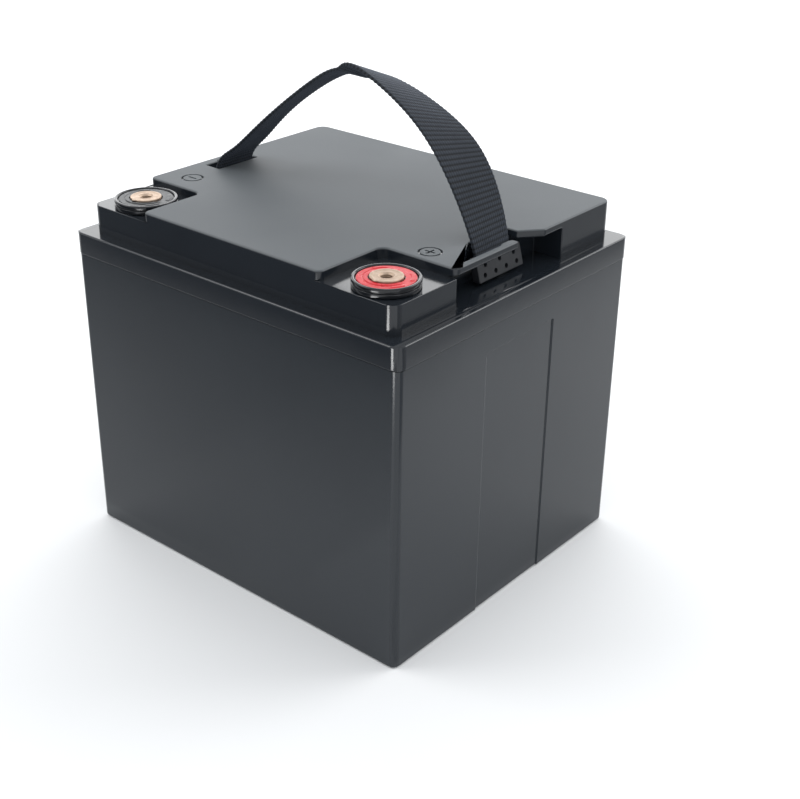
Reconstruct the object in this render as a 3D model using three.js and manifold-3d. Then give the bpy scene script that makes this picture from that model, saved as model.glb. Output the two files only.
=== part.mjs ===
// A 12.8 V battery pack: a tub-shaped case with a capped lid, two brass screw terminals sunk in
// the lid's front corners, a webbing carry strap, and four prismatic cells with their busbars,
// protection board and wiring inside.
//
// Millimetres, +Z up. X runs along the long side and the front face looks along -Y. The origin is
// the middle of the base.

import * as THREE from 'three';
import { mergeVertices } from 'three/addons/utils/BufferGeometryUtils.js';
import Module from 'manifold-3d';

const wasm = await Module();
wasm.setup();

// ---------------------------------------------------------------- driving dimensions

const LENGTH = 195;             // X, over the lid's skirt
const DEPTH = 166;              // Y, over the lid's skirt
const HEIGHT = 170;             // Z, base to lid top, without the strap
const GAP = 0.3;                // clearance between pieces that touch

const WALL = 3;                 // case wall and floor
const CASE_INSET = 0.6;         // the skirt stands this far proud of the case
const CASE_RADIUS = 3.4;
const SKIRT_BOTTOM = 142.2;
const SKIRT_WALL = 2.1;
const SKIRT_RADIUS = 4.8;
const LEDGE_Z = 152.6;          // flat shoulder round the raised block
const PANEL_DEPTH = 0.6;        // shallow panel on each short side of the case
const PANEL_Y = [-24.5, 24];
const PANEL_TOP = 130;

const BLOCK_INSET_X = 7.5;      // raised block, measured in from the skirt
const BLOCK_INSET_Y = 6.1;
const BLOCK_RADIUS = 5;
const LID_WALL = 3;

// The inner walls of each terminal's well, and the terminal's axis. The two ends differ.
const WELLS = { positive: { x: 51, y: -38.6 }, negative: { x: 55, y: -42.4 } };
const WELL_RADIUS = 4;
const WELL_EDGE_RADIUS = 3;
const WELL_FLOOR = 165.7;
const TERMINALS = { positive: 73.6, negative: -69.6 };
const TERMINAL_Y = -62.2;
const RING_TOP = 170;

const PLATE_UNDERSIDE = 166.5;  // top plate over the strap recesses
const RECESS_X = 75.3;
const RECESS_Y = [-37.8, 37.2];
const BAR_INNER_X = 87;         // the bar that keeps the strap in its slot
const BAR_END_Y = 4;

const STRAP_WIDTH = 24;
const STRAP_THICKNESS = 1.8;
const STRAP_Y = 1;              // the strap's middle line
const STRAP_ROOT_X = 77.5;      // where the strap crosses the lid's top plane
const STRAP_LEAN = 0.25;        // mm outward for each mm down
const SWING_Z = 186;            // height of the strap's swing axis
const TAB_Z = [154.7, 164.5];
const TAB_OFFSET = 1;           // the tab stands this far outside the strap's line
const TAB_WIDTH = 31;
const TAB_THICKNESS = 4;
const TAB_LEAN = 0.27;

const CELL = { x: 26.7, y: 148.2, z: 129.8 };
const CELL_PITCH = 27.8;
const CELL_BOTTOM = 6.6;
const STUD_Y = 50;
const STUD_RADIUS = 3;
const POST_HEIGHT = 2.5;
const CABLE_RADIUS = 3;
const LEAD_RADIUS = 0.75;

const BLOCK_X = LENGTH / 2 - BLOCK_INSET_X;
const BLOCK_Y = DEPTH / 2 - BLOCK_INSET_Y;
const CASE_X = LENGTH / 2 - CASE_INSET;
const CASE_Y = DEPTH / 2 - CASE_INSET;
const CELL_TOP = CELL_BOTTOM + CELL.z;
const POST_TOP = CELL_TOP + POST_HEIGHT;
const BAR_TOP = POST_TOP + GAP + 2;
const SHOULDER_UNDERSIDE = LEDGE_Z - 2.5;

// ---------------------------------------------------------------- materials

const finishes = {
  case_plastic: { color: 0x2b2e33, roughness: 0.32, metalness: 0 },
  lid_plastic: { color: 0x303338, roughness: 0.36, metalness: 0 },
  ring_plastic: { color: 0x1c1d20, roughness: 0.35, metalness: 0 },
  red_plastic: { color: 0xc8343a, roughness: 0.3, metalness: 0 },
  black_plastic: { color: 0x222427, roughness: 0.4, metalness: 0 },
  brass: { color: 0xcdb48a, roughness: 0.35, metalness: 1 },
  webbing: { color: 0x1d2129, roughness: 0.85, metalness: 0 },
  cell_wrap: { color: 0x2d5f9e, roughness: 0.45, metalness: 0 },
  aluminium: { color: 0xb9bcc0, roughness: 0.4, metalness: 1 },
  nickel: { color: 0xa8a59c, roughness: 0.3, metalness: 1 },
  copper: { color: 0xb87447, roughness: 0.35, metalness: 1 },
  steel: { color: 0x9a9da1, roughness: 0.35, metalness: 1 },
  epoxy_sheet: { color: 0x6e8f5a, roughness: 0.6, metalness: 0 },
  foam: { color: 0x3a3a3c, roughness: 0.95, metalness: 0 },
  circuit_board: { color: 0x1f5a3a, roughness: 0.4, metalness: 0 },
  red_insulation: { color: 0xb3232a, roughness: 0.5, metalness: 0 },
  black_insulation: { color: 0x1b1b1d, roughness: 0.5, metalness: 0 },
  white_insulation: { color: 0xd8d8d4, roughness: 0.5, metalness: 0 },
  sealant: { color: 0x17181a, roughness: 0.6, metalness: 0 },
};

const pack = new THREE.Group();
pack.name = 'battery_pack';

function add(name, geometry, finish) {
  const mesh = new THREE.Mesh(geometry, new THREE.MeshStandardMaterial(finishes[finish]));
  mesh.name = name;
  pack.add(mesh);
  return mesh;
}

// ---------------------------------------------------------------- solids

function toSolid(geometry) {
  const bare = geometry.clone();
  bare.deleteAttribute('normal');
  bare.deleteAttribute('uv');
  const merged = mergeVertices(bare, 1e-4);
  return new wasm.Manifold(new wasm.Mesh({
    numProp: 3,
    vertProperties: new Float32Array(merged.attributes.position.array),
    triVerts: new Uint32Array(merged.index.array),
  }));
}

function toGeometry(solid) {
  const mesh = solid.getMesh();
  const geometry = new THREE.BufferGeometry();
  geometry.setAttribute('position', new THREE.BufferAttribute(mesh.vertProperties, 3));
  geometry.setIndex(new THREE.BufferAttribute(mesh.triVerts, 1));
  geometry.computeVertexNormals();
  return geometry;
}

function union(solids) {
  return solids.reduce((whole, solid) => whole.add(solid));
}

// A box from its lowest and highest corner along each axis.
function box([x0, x1], [y0, y1], [z0, z1]) {
  const geometry = new THREE.BoxGeometry(x1 - x0, y1 - y0, z1 - z0);
  geometry.translate((x0 + x1) / 2, (y0 + y1) / 2, (z0 + z1) / 2);
  return toSolid(geometry);
}

// A flat outline in XY, raised from z0 to z1.
function prism(shape, z0, z1, curveSegments = 2) {
  const options = { depth: z1 - z0, bevelEnabled: false, curveSegments };
  const geometry = new THREE.ExtrudeGeometry(shape, options);
  geometry.translate(0, 0, z0);
  return toSolid(geometry);
}

function roundedRect(x0, x1, y0, y1, r) {
  const shape = new THREE.Shape();
  shape.moveTo(x0 + r, y0);
  shape.lineTo(x1 - r, y0);
  shape.absarc(x1 - r, y0 + r, r, -Math.PI / 2, 0);
  shape.lineTo(x1, y1 - r);
  shape.absarc(x1 - r, y1 - r, r, 0, Math.PI / 2);
  shape.lineTo(x0 + r, y1);
  shape.absarc(x0 + r, y1 - r, r, Math.PI / 2, Math.PI);
  shape.lineTo(x0, y0 + r);
  shape.absarc(x0 + r, y0 + r, r, Math.PI, Math.PI * 1.5);
  return shape;
}

// A block with rounded upright edges, centred on the axis, given by its half sizes.
function roundedBlock(halfX, halfY, r, z0, z1) {
  return prism(roundedRect(-halfX, halfX, -halfY, halfY, r), z0, z1);
}

// A frame between two centred rounded rectangles.
function roundedFrame(outer, inner, z0, z1) {
  return roundedBlock(...outer, z0, z1).subtract(roundedBlock(...inner, z0 - 1, z1 + 1));
}

function rod(r, z0, z1, x = 0, y = 0, sides = 24) {
  const geometry = new THREE.CylinderGeometry(r, r, z1 - z0, sides);
  geometry.rotateX(Math.PI / 2);
  geometry.translate(x, y, (z0 + z1) / 2);
  return toSolid(geometry);
}

function cone(r0, r1, z0, z1, sides = 24) {
  const geometry = new THREE.CylinderGeometry(r1, r0, z1 - z0, sides);
  geometry.rotateX(Math.PI / 2);
  geometry.translate(0, 0, (z0 + z1) / 2);
  return toSolid(geometry);
}

// A closed [radius, height] profile turned about the Z axis.
function turned(profile, sides = 28) {
  const points = [...profile, profile[0]].map(([r, z]) => new THREE.Vector2(r, z));
  const geometry = new THREE.LatheGeometry(points, sides);
  geometry.rotateX(Math.PI / 2);
  return toSolid(geometry);
}

function tube(points, r, sides, steps) {
  const circle = new THREE.Shape();
  circle.absarc(0, 0, r, 0, Math.PI * 2);
  const path = new THREE.CatmullRomCurve3(points.map((p) => new THREE.Vector3(...p)));
  return new THREE.ExtrudeGeometry(circle, { steps, curveSegments: sides / 2, extrudePath: path });
}

// Mirrors an [x, y] outline into the left side, keeping its winding.
function mirrored(outline) {
  return outline.map(([x, y]) => [-x, y]).reverse();
}

function polygon(outline) {
  return new THREE.Shape(outline.map(([x, y]) => new THREE.Vector2(x, y)));
}

// ---------------------------------------------------------------- case

function buildCase() {
  const tongueX = LENGTH / 2 - SKIRT_WALL - GAP;
  const tongueY = DEPTH / 2 - SKIRT_WALL - GAP;
  const innerX = CASE_X - WALL;
  const innerY = CASE_Y - WALL;
  const shell = union([
    roundedBlock(CASE_X, CASE_Y, CASE_RADIUS, 0, SKIRT_BOTTOM - GAP),
    roundedBlock(tongueX, tongueY, CASE_RADIUS - 1, SKIRT_BOTTOM - 1, 148),
  ]).subtract(roundedBlock(innerX, innerY, CASE_RADIUS - 2.5, WALL, 149));
  const panelX = CASE_X - PANEL_DEPTH;
  const right = box([panelX, CASE_X + 1], PANEL_Y, [-1, PANEL_TOP]);
  const left = box([-CASE_X - 1, -panelX], PANEL_Y, [-1, PANEL_TOP]);
  return shell.subtract(right).subtract(left);
}

// ---------------------------------------------------------------- lid

// The slot in the top plate that the strap comes up through. It is open to the side past the
// end of the bar. The right slot's near end slants in, and the left one's is square.
const slotFarSide = [
  [BAR_INNER_X, -4.6],
  [BAR_INNER_X - 1, -3],
  [BAR_INNER_X - 1, 2],
  [BAR_INNER_X - 0.5, 3.3],
  [BAR_INNER_X + 0.5, BAR_END_Y],
  [LENGTH / 2, BAR_END_Y],
  [LENGTH / 2, 36],
  [BLOCK_X + 0.4, 24.4],
  [82, 13.9],
  [RECESS_X, 13.9],
];
const rightSlot = [[RECESS_X, -11.6], [86.2, -31], [BAR_INNER_X, -30.2], ...slotFarSide];
const leftSlot = mirrored([[RECESS_X, -11.6], [84.4, -11.6], [84.4, -4], ...slotFarSide.slice(1)]);

// A ring groove with a plus or a minus inside it, 0.7 mm deep in the lid's top.
function polarityMark(x, y, plus) {
  const z0 = HEIGHT - 0.7;
  const z1 = HEIGHT + 1;
  const ring = rod(5.3, z0, z1, x, y, 40).subtract(rod(4.3, z0 - 1, z1 + 1, x, y, 40));
  const bar = box([x - 2.6, x + 2.6], [y - 0.5, y + 0.5], [z0, z1]);
  if (!plus) return ring.add(bar);
  return union([ring, bar, box([x - 0.5, x + 0.5], [y - 2.6, y + 2.6], [z0, z1])]);
}

function lidOuter() {
  return union([
    roundedBlock(LENGTH / 2, DEPTH / 2, SKIRT_RADIUS, SKIRT_BOTTOM, LEDGE_Z),
    prism(roundedRect(-BLOCK_X, BLOCK_X, -BLOCK_Y, BLOCK_Y, BLOCK_RADIUS), LEDGE_Z - 1, HEIGHT, 8),
  ]);
}

// The hollow under the block: full height in the middle, lower under the terminal wells, and
// held back from the strap recesses.
function lidCavity() {
  const z0 = SHOULDER_UNDERSIDE - 1;
  const ceiling = HEIGHT - LID_WALL;
  const wellCeiling = WELL_FLOOR - LID_WALL + 0.2;
  const x = BLOCK_X - LID_WALL;
  const y = BLOCK_Y - LID_WALL;
  const middleX = RECESS_X - 2.5;
  const frontY = RECESS_Y[0] - 2.5;
  const rearY = RECESS_Y[1] + 3;
  const hollow = union([
    box([-middleX, middleX], [-y, y], [z0, ceiling]),
    box([-x, x], [-y, frontY], [z0, wellCeiling]),
    box([-x, x], [rearY, y], [z0, ceiling]),
  ]);
  const { positive, negative } = WELLS;
  const wall = LID_WALL - 0.2;
  const underRight = box([positive.x - wall, LENGTH], [-DEPTH, positive.y + wall], [wellCeiling, HEIGHT]);
  const underLeft = box([-LENGTH, wall - negative.x], [-DEPTH, negative.y + wall], [wellCeiling, HEIGHT]);
  return hollow.subtract(underRight).subtract(underLeft);
}

// The plan of a right-hand well with its inner walls at x and y. It opens through the block's
// corner, and the upright edges where its walls meet the block's faces are rounded.
function wellShape({ x, y }) {
  const r = WELL_EDGE_RADIUS;
  const shape = new THREE.Shape();
  shape.moveTo(LENGTH, -DEPTH);
  shape.lineTo(LENGTH, y + r);
  shape.lineTo(BLOCK_X, y + r);
  shape.absarc(BLOCK_X - r, y + r, r, 0, -Math.PI / 2, true);
  shape.lineTo(x + WELL_RADIUS, y);
  shape.absarc(x + WELL_RADIUS, y - WELL_RADIUS, WELL_RADIUS, Math.PI / 2, Math.PI);
  shape.lineTo(x, r - BLOCK_Y);
  shape.absarc(x - r, r - BLOCK_Y, r, 0, -Math.PI / 2, true);
  shape.lineTo(x - r, -DEPTH);
  return shape;
}

function buildLid() {
  const skirtX = LENGTH / 2 - SKIRT_WALL;
  const skirtY = DEPTH / 2 - SKIRT_WALL;
  const lipX = CASE_X - WALL - GAP;
  const lipY = CASE_Y - WALL - GAP;
  const under = roundedBlock(skirtX, skirtY, CASE_RADIUS - 1, SKIRT_BOTTOM - 1, SHOULDER_UNDERSIDE);
  const lip = roundedFrame([lipX, lipY, 2.4], [lipX - 1.7, lipY - 1.7, 1.2], 143.5, SHOULDER_UNDERSIDE + 1);
  let lid = lidOuter().subtract(under).add(lip).subtract(lidCavity());
  for (const side of ['positive', 'negative']) {
    const right = side === 'positive';
    const well = prism(wellShape(WELLS[side]), WELL_FLOOR, HEIGHT + 1, 8);
    const recessX = right ? [RECESS_X, LENGTH] : [-LENGTH, -RECESS_X];
    lid = lid.subtract(right ? well : well.mirror([1, 0, 0]));
    lid = lid.subtract(box(recessX, RECESS_Y, [LEDGE_Z, PLATE_UNDERSIDE]));
    lid = lid.subtract(prism(polygon(right ? rightSlot : leftSlot), PLATE_UNDERSIDE - 1, HEIGHT + 1));
    lid = lid.subtract(rod(6.3, 160, HEIGHT, TERMINALS[side], TERMINAL_Y));
  }
  lid = lid.subtract(polarityMark(69.8, -30.2, true));
  return lid.subtract(polarityMark(-74.4, -29.6, false));
}

function buildSealantBead() {
  const outer = [LENGTH / 2 - SKIRT_WALL - GAP, DEPTH / 2 - SKIRT_WALL - GAP, CASE_RADIUS - 1];
  const inner = [CASE_X - WALL, CASE_Y - WALL, 2.5];
  return roundedFrame(outer, inner, 148.3, SHOULDER_UNDERSIDE - GAP);
}

add('case', toGeometry(buildCase()), 'case_plastic');
add('lid', toGeometry(buildLid()), 'lid_plastic');
add('lid_sealant_bead', toGeometry(buildSealantBead()), 'sealant');

// ---------------------------------------------------------------- terminals

const BRASS_TOP = RING_TOP + 0.4;
const BRASS_BOTTOM = 150.3;
const LUG_TOP = BRASS_BOTTOM - GAP;
const LUG_THICKNESS = 1.8;

// A grooved plastic collar standing in the well, with a shallow seat for the coloured plate.
const ringProfile = [
  [7.4, WELL_FLOOR + GAP], [14.2, WELL_FLOOR + GAP], [14.2, 167.7], [13.6, 167.9],
  [13.6, 168.4], [14.2, 168.6], [14.2, RING_TOP - 0.3], [13.9, RING_TOP],
  [12.8, RING_TOP], [12.6, 168.7], [7.4, 168.7],
];

const plateProfile = [[7.5, 169], [12.2, 169], [12.2, 169.6], [7.5, 169.8]];

// The brass insert: a flat head, a threaded body through the lid, and a locating key on its rim.
function brassInsert() {
  const body = union([
    cone(7, 7, 166.7, BRASS_TOP),
    rod(6, BRASS_BOTTOM, 167),
    box([-1.2, 1.2], [-7.3, -5], [169.8, BRASS_TOP - 0.2]),
  ]);
  const bore = rod(2.6, BRASS_BOTTOM - 1, BRASS_TOP + 1, 0, 0, 20);
  const countersink = cone(2.6, 3.2, BRASS_TOP - 0.6, BRASS_TOP + 0.01, 20);
  return body.subtract(bore).subtract(countersink);
}

function hexPrism(acrossFlats, z0, z1) {
  return rod(acrossFlats / Math.sqrt(3), z0, z1, 0, 0, 6);
}

// A ring-tongue cable lug. Its barrel leaves along +X, level with barrelZ.
function cableLug(zTop, barrelZ) {
  const z0 = zTop - LUG_THICKNESS;
  const hole = rod(STUD_RADIUS + GAP, z0 - 1, zTop + 1, 0, 0, 20);
  const tongue = rod(7, z0, zTop).add(box([0, 9.5], [-3.5, 3.5], [z0, zTop]));
  const barrel = new THREE.CylinderGeometry(3.8, 3.8, 14, 16);
  barrel.rotateZ(Math.PI / 2);
  barrel.translate(15, 0, barrelZ);
  return tongue.subtract(hole).add(toSolid(barrel));
}

for (const [side, sign] of [['positive', 1], ['negative', -1]]) {
  const collarColour = sign > 0 ? 'red_plastic' : 'black_plastic';
  const parts = [
    [`${side}_terminal_collar`, turned(ringProfile), 'ring_plastic'],
    [`${side}_polarity_plate`, turned(plateProfile), collarColour],
    [`${side}_terminal_insert`, brassInsert(), 'brass'],
    [`${side}_terminal_nut`, hexPrism(17, 160.4, WELL_FLOOR - LID_WALL - 0.1)
      .subtract(rod(6.3, 160, 164)), 'brass'],
    [`${side}_lug_bolt`, hexPrism(10, 144, LUG_TOP - LUG_THICKNESS - GAP)
      .add(rod(2.2, 146, 164, 0, 0, 16)), 'steel'],
  ];
  for (const [name, solid, finish] of parts) {
    add(name, toGeometry(solid), finish).position.set(TERMINALS[side], TERMINAL_Y, 0);
  }
  const lug = cableLug(LUG_TOP, LUG_TOP - 3.8);
  const mesh = add(`${side}_terminal_lug`, toGeometry(lug), 'nickel');
  mesh.position.set(TERMINALS[side], TERMINAL_Y, 0);
  mesh.rotation.z = Math.PI / 2;
}

// ---------------------------------------------------------------- carry strap

// The strap's middle line over the lid, as [x, z]. It lies a little fuller on the right.
const archLine = [
  [-77.4, 174], [-68, 182], [-49.5, 198.5], [-30, 213.5], [-11, 226], [4, 231.6],
  [17, 230.3], [31, 225], [50.5, 212.8], [63, 200], [71.5, 187.5], [77.4, 174],
];

// A band of even thickness along the middle line, cut to the strap's width. Below the swing
// axis its ends are round, so that they turn clear of the strap's roots.
function buildArch() {
  const curve = new THREE.CatmullRomCurve3(archLine.map(([x, z]) => new THREE.Vector3(x, z, 0)));
  const steps = 30;
  const outer = [];
  const inner = [];
  for (let i = 0; i <= steps; i += 1) {
    const point = curve.getPoint(i / steps);
    const along = curve.getTangent(i / steps);
    const across = new THREE.Vector2(-along.y, along.x).multiplyScalar(STRAP_THICKNESS / 2);
    outer.push([point.x + across.x, point.y + across.y]);
    inner.push([point.x - across.x, point.y - across.y]);
  }
  const band = new THREE.ExtrudeGeometry(polygon([...inner, ...outer.reverse()]), {
    depth: STRAP_WIDTH,
    bevelEnabled: false,
  });
  band.rotateX(Math.PI / 2);
  band.translate(0, STRAP_Y + STRAP_WIDTH / 2, 0);
  const half = STRAP_WIDTH / 2;
  const side = new THREE.Shape();
  side.moveTo(half, 80);
  side.lineTo(-half, 80);
  side.lineTo(-half, 0);
  side.absarc(0, 0, half, Math.PI, Math.PI * 2);
  const trim = new THREE.ExtrudeGeometry(side, { depth: LENGTH, bevelEnabled: false, curveSegments: 16 });
  trim.rotateX(Math.PI / 2);
  trim.rotateZ(Math.PI / 2);
  trim.translate(-LENGTH / 2, STRAP_Y, SWING_Z);
  return toSolid(band).intersect(toSolid(trim));
}

// A strip standing in XZ between two heights, leaning outward as it goes down.
function leaningStrip(x, z0, z1, zAtX, lean, thickness, width) {
  const xAt = (z) => x + (zAtX - z) * lean;
  const shape = polygon([
    [xAt(z0) - thickness / 2, z0], [xAt(z0) + thickness / 2, z0],
    [xAt(z1) + thickness / 2, z1], [xAt(z1) - thickness / 2, z1],
  ]);
  const strip = new THREE.ExtrudeGeometry(shape, { depth: width, bevelEnabled: false });
  strip.rotateX(Math.PI / 2);
  strip.translate(0, STRAP_Y + width / 2, 0);
  return toSolid(strip);
}

function buildStrapRoot() {
  const top = SWING_Z - STRAP_WIDTH / 2 - GAP;
  return leaningStrip(STRAP_ROOT_X, TAB_Z[1] + GAP, top, HEIGHT, STRAP_LEAN, STRAP_THICKNESS, STRAP_WIDTH);
}

// The moulded end tab, with two rows of pin holes.
function buildTab() {
  const [z0, z1] = TAB_Z;
  const x = STRAP_ROOT_X + (HEIGHT - z1) * STRAP_LEAN + TAB_OFFSET;
  let tab = leaningStrip(x, z0, z1, z1, TAB_LEAN, TAB_THICKNESS, TAB_WIDTH);
  const rows = [[z0 + 2.6, 4, 7.5], [z0 + 6.8, 3, 10]];
  for (const [z, count, pitch] of rows) {
    for (let i = 0; i < count; i += 1) {
      const pin = new THREE.CylinderGeometry(1.1, 1.1, 12, 16);
      pin.rotateZ(Math.PI / 2);
      pin.translate(x + (z1 - z) * TAB_LEAN, STRAP_Y + (i - (count - 1) / 2) * pitch, z);
      tab = tab.subtract(toSolid(pin));
    }
  }
  return tab;
}

add('carry_strap', toGeometry(buildArch()), 'webbing');
for (const [side, sign] of [['right', 1], ['left', -1]]) {
  const pieces = [[`strap_root_${side}`, buildStrapRoot()], [`strap_end_tab_${side}`, buildTab()]];
  for (const [name, solid] of pieces) {
    const placed = sign > 0 ? solid : solid.mirror([1, 0, 0]);
    add(name, toGeometry(placed), name.includes('tab') ? 'black_plastic' : 'webbing');
  }
}

// ---------------------------------------------------------------- cells

const cellX = [-1.5, -0.5, 0.5, 1.5].map((n) => n * CELL_PITCH);
const stackX = CELL_PITCH * 2;

function buildCell() {
  const parts = [
    prism(roundedRect(-CELL.x / 2, CELL.x / 2, -CELL.y / 2, CELL.y / 2, 2), CELL_BOTTOM, CELL_TOP, 2),
    prism(roundedRect(-6, 6, -9, 9, 4), CELL_TOP - 1, CELL_TOP + 0.8, 3),
  ];
  for (const y of [-STUD_Y, STUD_Y]) {
    parts.push(box([-8, 8], [y - 10, y + 10], [CELL_TOP - 1, POST_TOP]));
    parts.push(rod(STUD_RADIUS, POST_TOP - 1, POST_TOP + 8, 0, y, 12));
  }
  return union(parts);
}

cellX.forEach((x, i) => {
  add(`cell_${i + 1}`, toGeometry(buildCell()), 'cell_wrap').position.x = x;
});

for (let i = 0; i < 3; i += 1) {
  const sheet = box([-0.25, 0.25], [-72, 72], [CELL_BOTTOM + 1, CELL_TOP - 2]);
  add(`cell_separator_${i + 1}`, toGeometry(sheet), 'epoxy_sheet').position.x = (i - 1) * CELL_PITCH;
}

for (const [side, sign] of [['left', -1], ['right', 1]]) {
  const plate = box([-1.5, 1.5], [-73.5, 73.5], [CELL_BOTTOM, CELL_TOP - 1]);
  add(`end_plate_${side}`, toGeometry(plate), 'epoxy_sheet').position.x = sign * (stackX + 1.5);
}

const bandInner = [stackX + 3 + GAP, CELL.y / 2 + GAP, 0.5];
const bandOuter = [bandInner[0] + 0.6, bandInner[1] + 0.6, 1];
for (const [level, z] of [['lower', 40], ['upper', 100]]) {
  add(`stack_band_${level}`, toGeometry(roundedFrame(bandOuter, bandInner, z, z + 16)), 'steel');
}

// ---------------------------------------------------------------- foam packing

const roomX = CASE_X - WALL;
const roomY = CASE_Y - WALL;
const baseFoam = box([-roomX + 1, roomX - 1], [-roomY + 1, roomY - 1], [WALL + GAP, CELL_BOTTOM - GAP]);
add('base_foam_pad', toGeometry(baseFoam), 'foam');
for (const [side, sign] of [['left', -1], ['right', 1]]) {
  const half = (roomX - GAP - (bandOuter[0] + GAP)) / 2;
  const block = box([-half, half], [-74, 74], [CELL_BOTTOM, CELL_TOP - 1]);
  add(`foam_block_${side}`, toGeometry(block), 'foam').position.x = sign * (bandOuter[0] + GAP + half);
}
for (const [side, sign] of [['front', -1], ['rear', 1]]) {
  const half = (roomY - GAP - (bandOuter[1] + GAP)) / 2;
  const sheet = box([-58, 58], [-half, half], [CELL_BOTTOM, CELL_TOP - 1]);
  add(`foam_sheet_${side}`, toGeometry(sheet), 'foam').position.y = sign * (bandOuter[1] + GAP + half);
}

// ---------------------------------------------------------------- busbars and nuts

// A copper link between two neighbouring studs.
function buildBusbar() {
  const z0 = POST_TOP + GAP;
  const half = CELL_PITCH / 2;
  let bar = prism(roundedRect(-half - 8, half + 8, -9, 9, 3), z0, BAR_TOP, 2);
  for (const x of [-half, half]) {
    bar = bar.subtract(rod(STUD_RADIUS + GAP, z0 - 1, BAR_TOP + 1, x, 0, 12));
  }
  return bar;
}

const links = [[1, -STUD_Y], [2, STUD_Y], [3, -STUD_Y]];
for (const [first, y] of links) {
  const mesh = add(`busbar_${first}_${first + 1}`, toGeometry(buildBusbar()), 'copper');
  mesh.position.set((cellX[first - 1] + cellX[first]) / 2, y, 0);
}

function buildFlangeNut() {
  const z0 = BAR_TOP + GAP;
  return hexPrism(10, z0, z0 + 5)
    .add(rod(6.5, z0, z0 + 1.2, 0, 0, 16))
    .subtract(rod(STUD_RADIUS + GAP, z0 - 1, z0 + 6, 0, 0, 12));
}

cellX.forEach((x, i) => {
  for (const [end, y] of [['front', -STUD_Y], ['rear', STUD_Y]]) {
    add(`cell_${i + 1}_nut_${end}`, toGeometry(buildFlangeNut()), 'steel').position.set(x, y, 0);
  }
});

// ---------------------------------------------------------------- protection board

const SHEET_Z = POST_TOP + 8 + 1;
const BOARD_Z = SHEET_Z + 2 + GAP;

add('insulation_sheet', toGeometry(box([-60, 60], [-36, 36], [SHEET_Z, SHEET_Z + 2])), 'epoxy_sheet');

function buildBoard() {
  const top = BOARD_Z + 1.6;
  const parts = [box([-50, 50], [-27, 27], [BOARD_Z, top])];
  for (let i = 0; i < 6; i += 1) {
    parts.push(box([-26 + i * 11, -19 + i * 11], [-24, -15], [top - 0.5, top + 2.3]));
  }
  parts.push(box([38, 46], [-8, 8], [top - 0.5, top + 5]));
  parts.push(box([2, 12], [12, 22], [top - 0.5, top + 1.4]));
  parts.push(box([18, 30], [14, 20], [top - 0.5, top + 2]));
  return union(parts);
}

// A flat aluminium bar over the row of switching transistors.
function buildHeatSink() {
  const z0 = BOARD_Z + 1.6 + 2.3 + GAP;
  let sink = box([-28, 38], [-26, -12], [z0, z0 + 6]);
  for (let i = 0; i < 3; i += 1) {
    const y = -23 + i * 4;
    sink = sink.subtract(box([-29, 39], [y, y + 2], [z0 + 2.5, z0 + 7]));
  }
  return sink;
}

add('protection_board', toGeometry(buildBoard()), 'circuit_board');
add('board_heat_sink', toGeometry(buildHeatSink()), 'aluminium');

// ---------------------------------------------------------------- wiring

const LUG_SEAT = POST_TOP + GAP;
const BARREL_Z = LUG_SEAT + 3.8;
const LUG_REACH = 22.5;
const TERMINAL_BARREL_Z = LUG_TOP - 3.8;

for (const [side, x, sign] of [['positive', cellX[3], 1], ['negative', cellX[0], -1]]) {
  const lug = cableLug(LUG_SEAT + LUG_THICKNESS, BARREL_Z);
  const mesh = add(`${side}_cell_lug`, toGeometry(lug), 'nickel');
  mesh.position.set(x, STUD_Y, 0);
  mesh.rotation.z = sign > 0 ? 0 : Math.PI;
}

const terminalEnd = TERMINAL_Y + LUG_REACH;
const cableEndX = cellX[3] + LUG_REACH;
const boardCableZ = BOARD_Z + 1.6 + GAP + CABLE_RADIUS;

const cables = {
  positive_cable: ['red_insulation', [
    [cableEndX, STUD_Y, BARREL_Z], [cableEndX + 3, STUD_Y, BARREL_Z], [72, 47.4, BARREL_Z],
    [75.4, 40, BARREL_Z], [76, 26, BARREL_Z + 0.4], [75, 0, 145], [73.4, -25, TERMINAL_BARREL_Z],
    [TERMINALS.positive, -33, TERMINAL_BARREL_Z],
    [TERMINALS.positive, terminalEnd, TERMINAL_BARREL_Z],
  ]],
  cell_negative_cable: ['black_insulation', [
    [-cableEndX, STUD_Y, BARREL_Z], [-cableEndX - 3, STUD_Y, BARREL_Z], [-71, 46.5, BARREL_Z + 0.6],
    [-71.6, 38, 145.8], [-68, 28, 149.8], [-60, 20, 154.6], [-52, 16.6, boardCableZ],
    [-45, 16, boardCableZ],
  ]],
  terminal_negative_cable: ['black_insulation', [
    [-45, -6, boardCableZ], [-55, -7, boardCableZ], [-63, -12, 152], [-67.6, -20, 147],
    [-69.6, -29, TERMINAL_BARREL_Z], [TERMINALS.negative, terminalEnd + 3, TERMINAL_BARREL_Z],
    [TERMINALS.negative, terminalEnd, TERMINAL_BARREL_Z],
  ]],
};
for (const [name, [finish, points]] of Object.entries(cables)) {
  add(name, tube(points, CABLE_RADIUS, 8, 16), finish);
}

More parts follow.
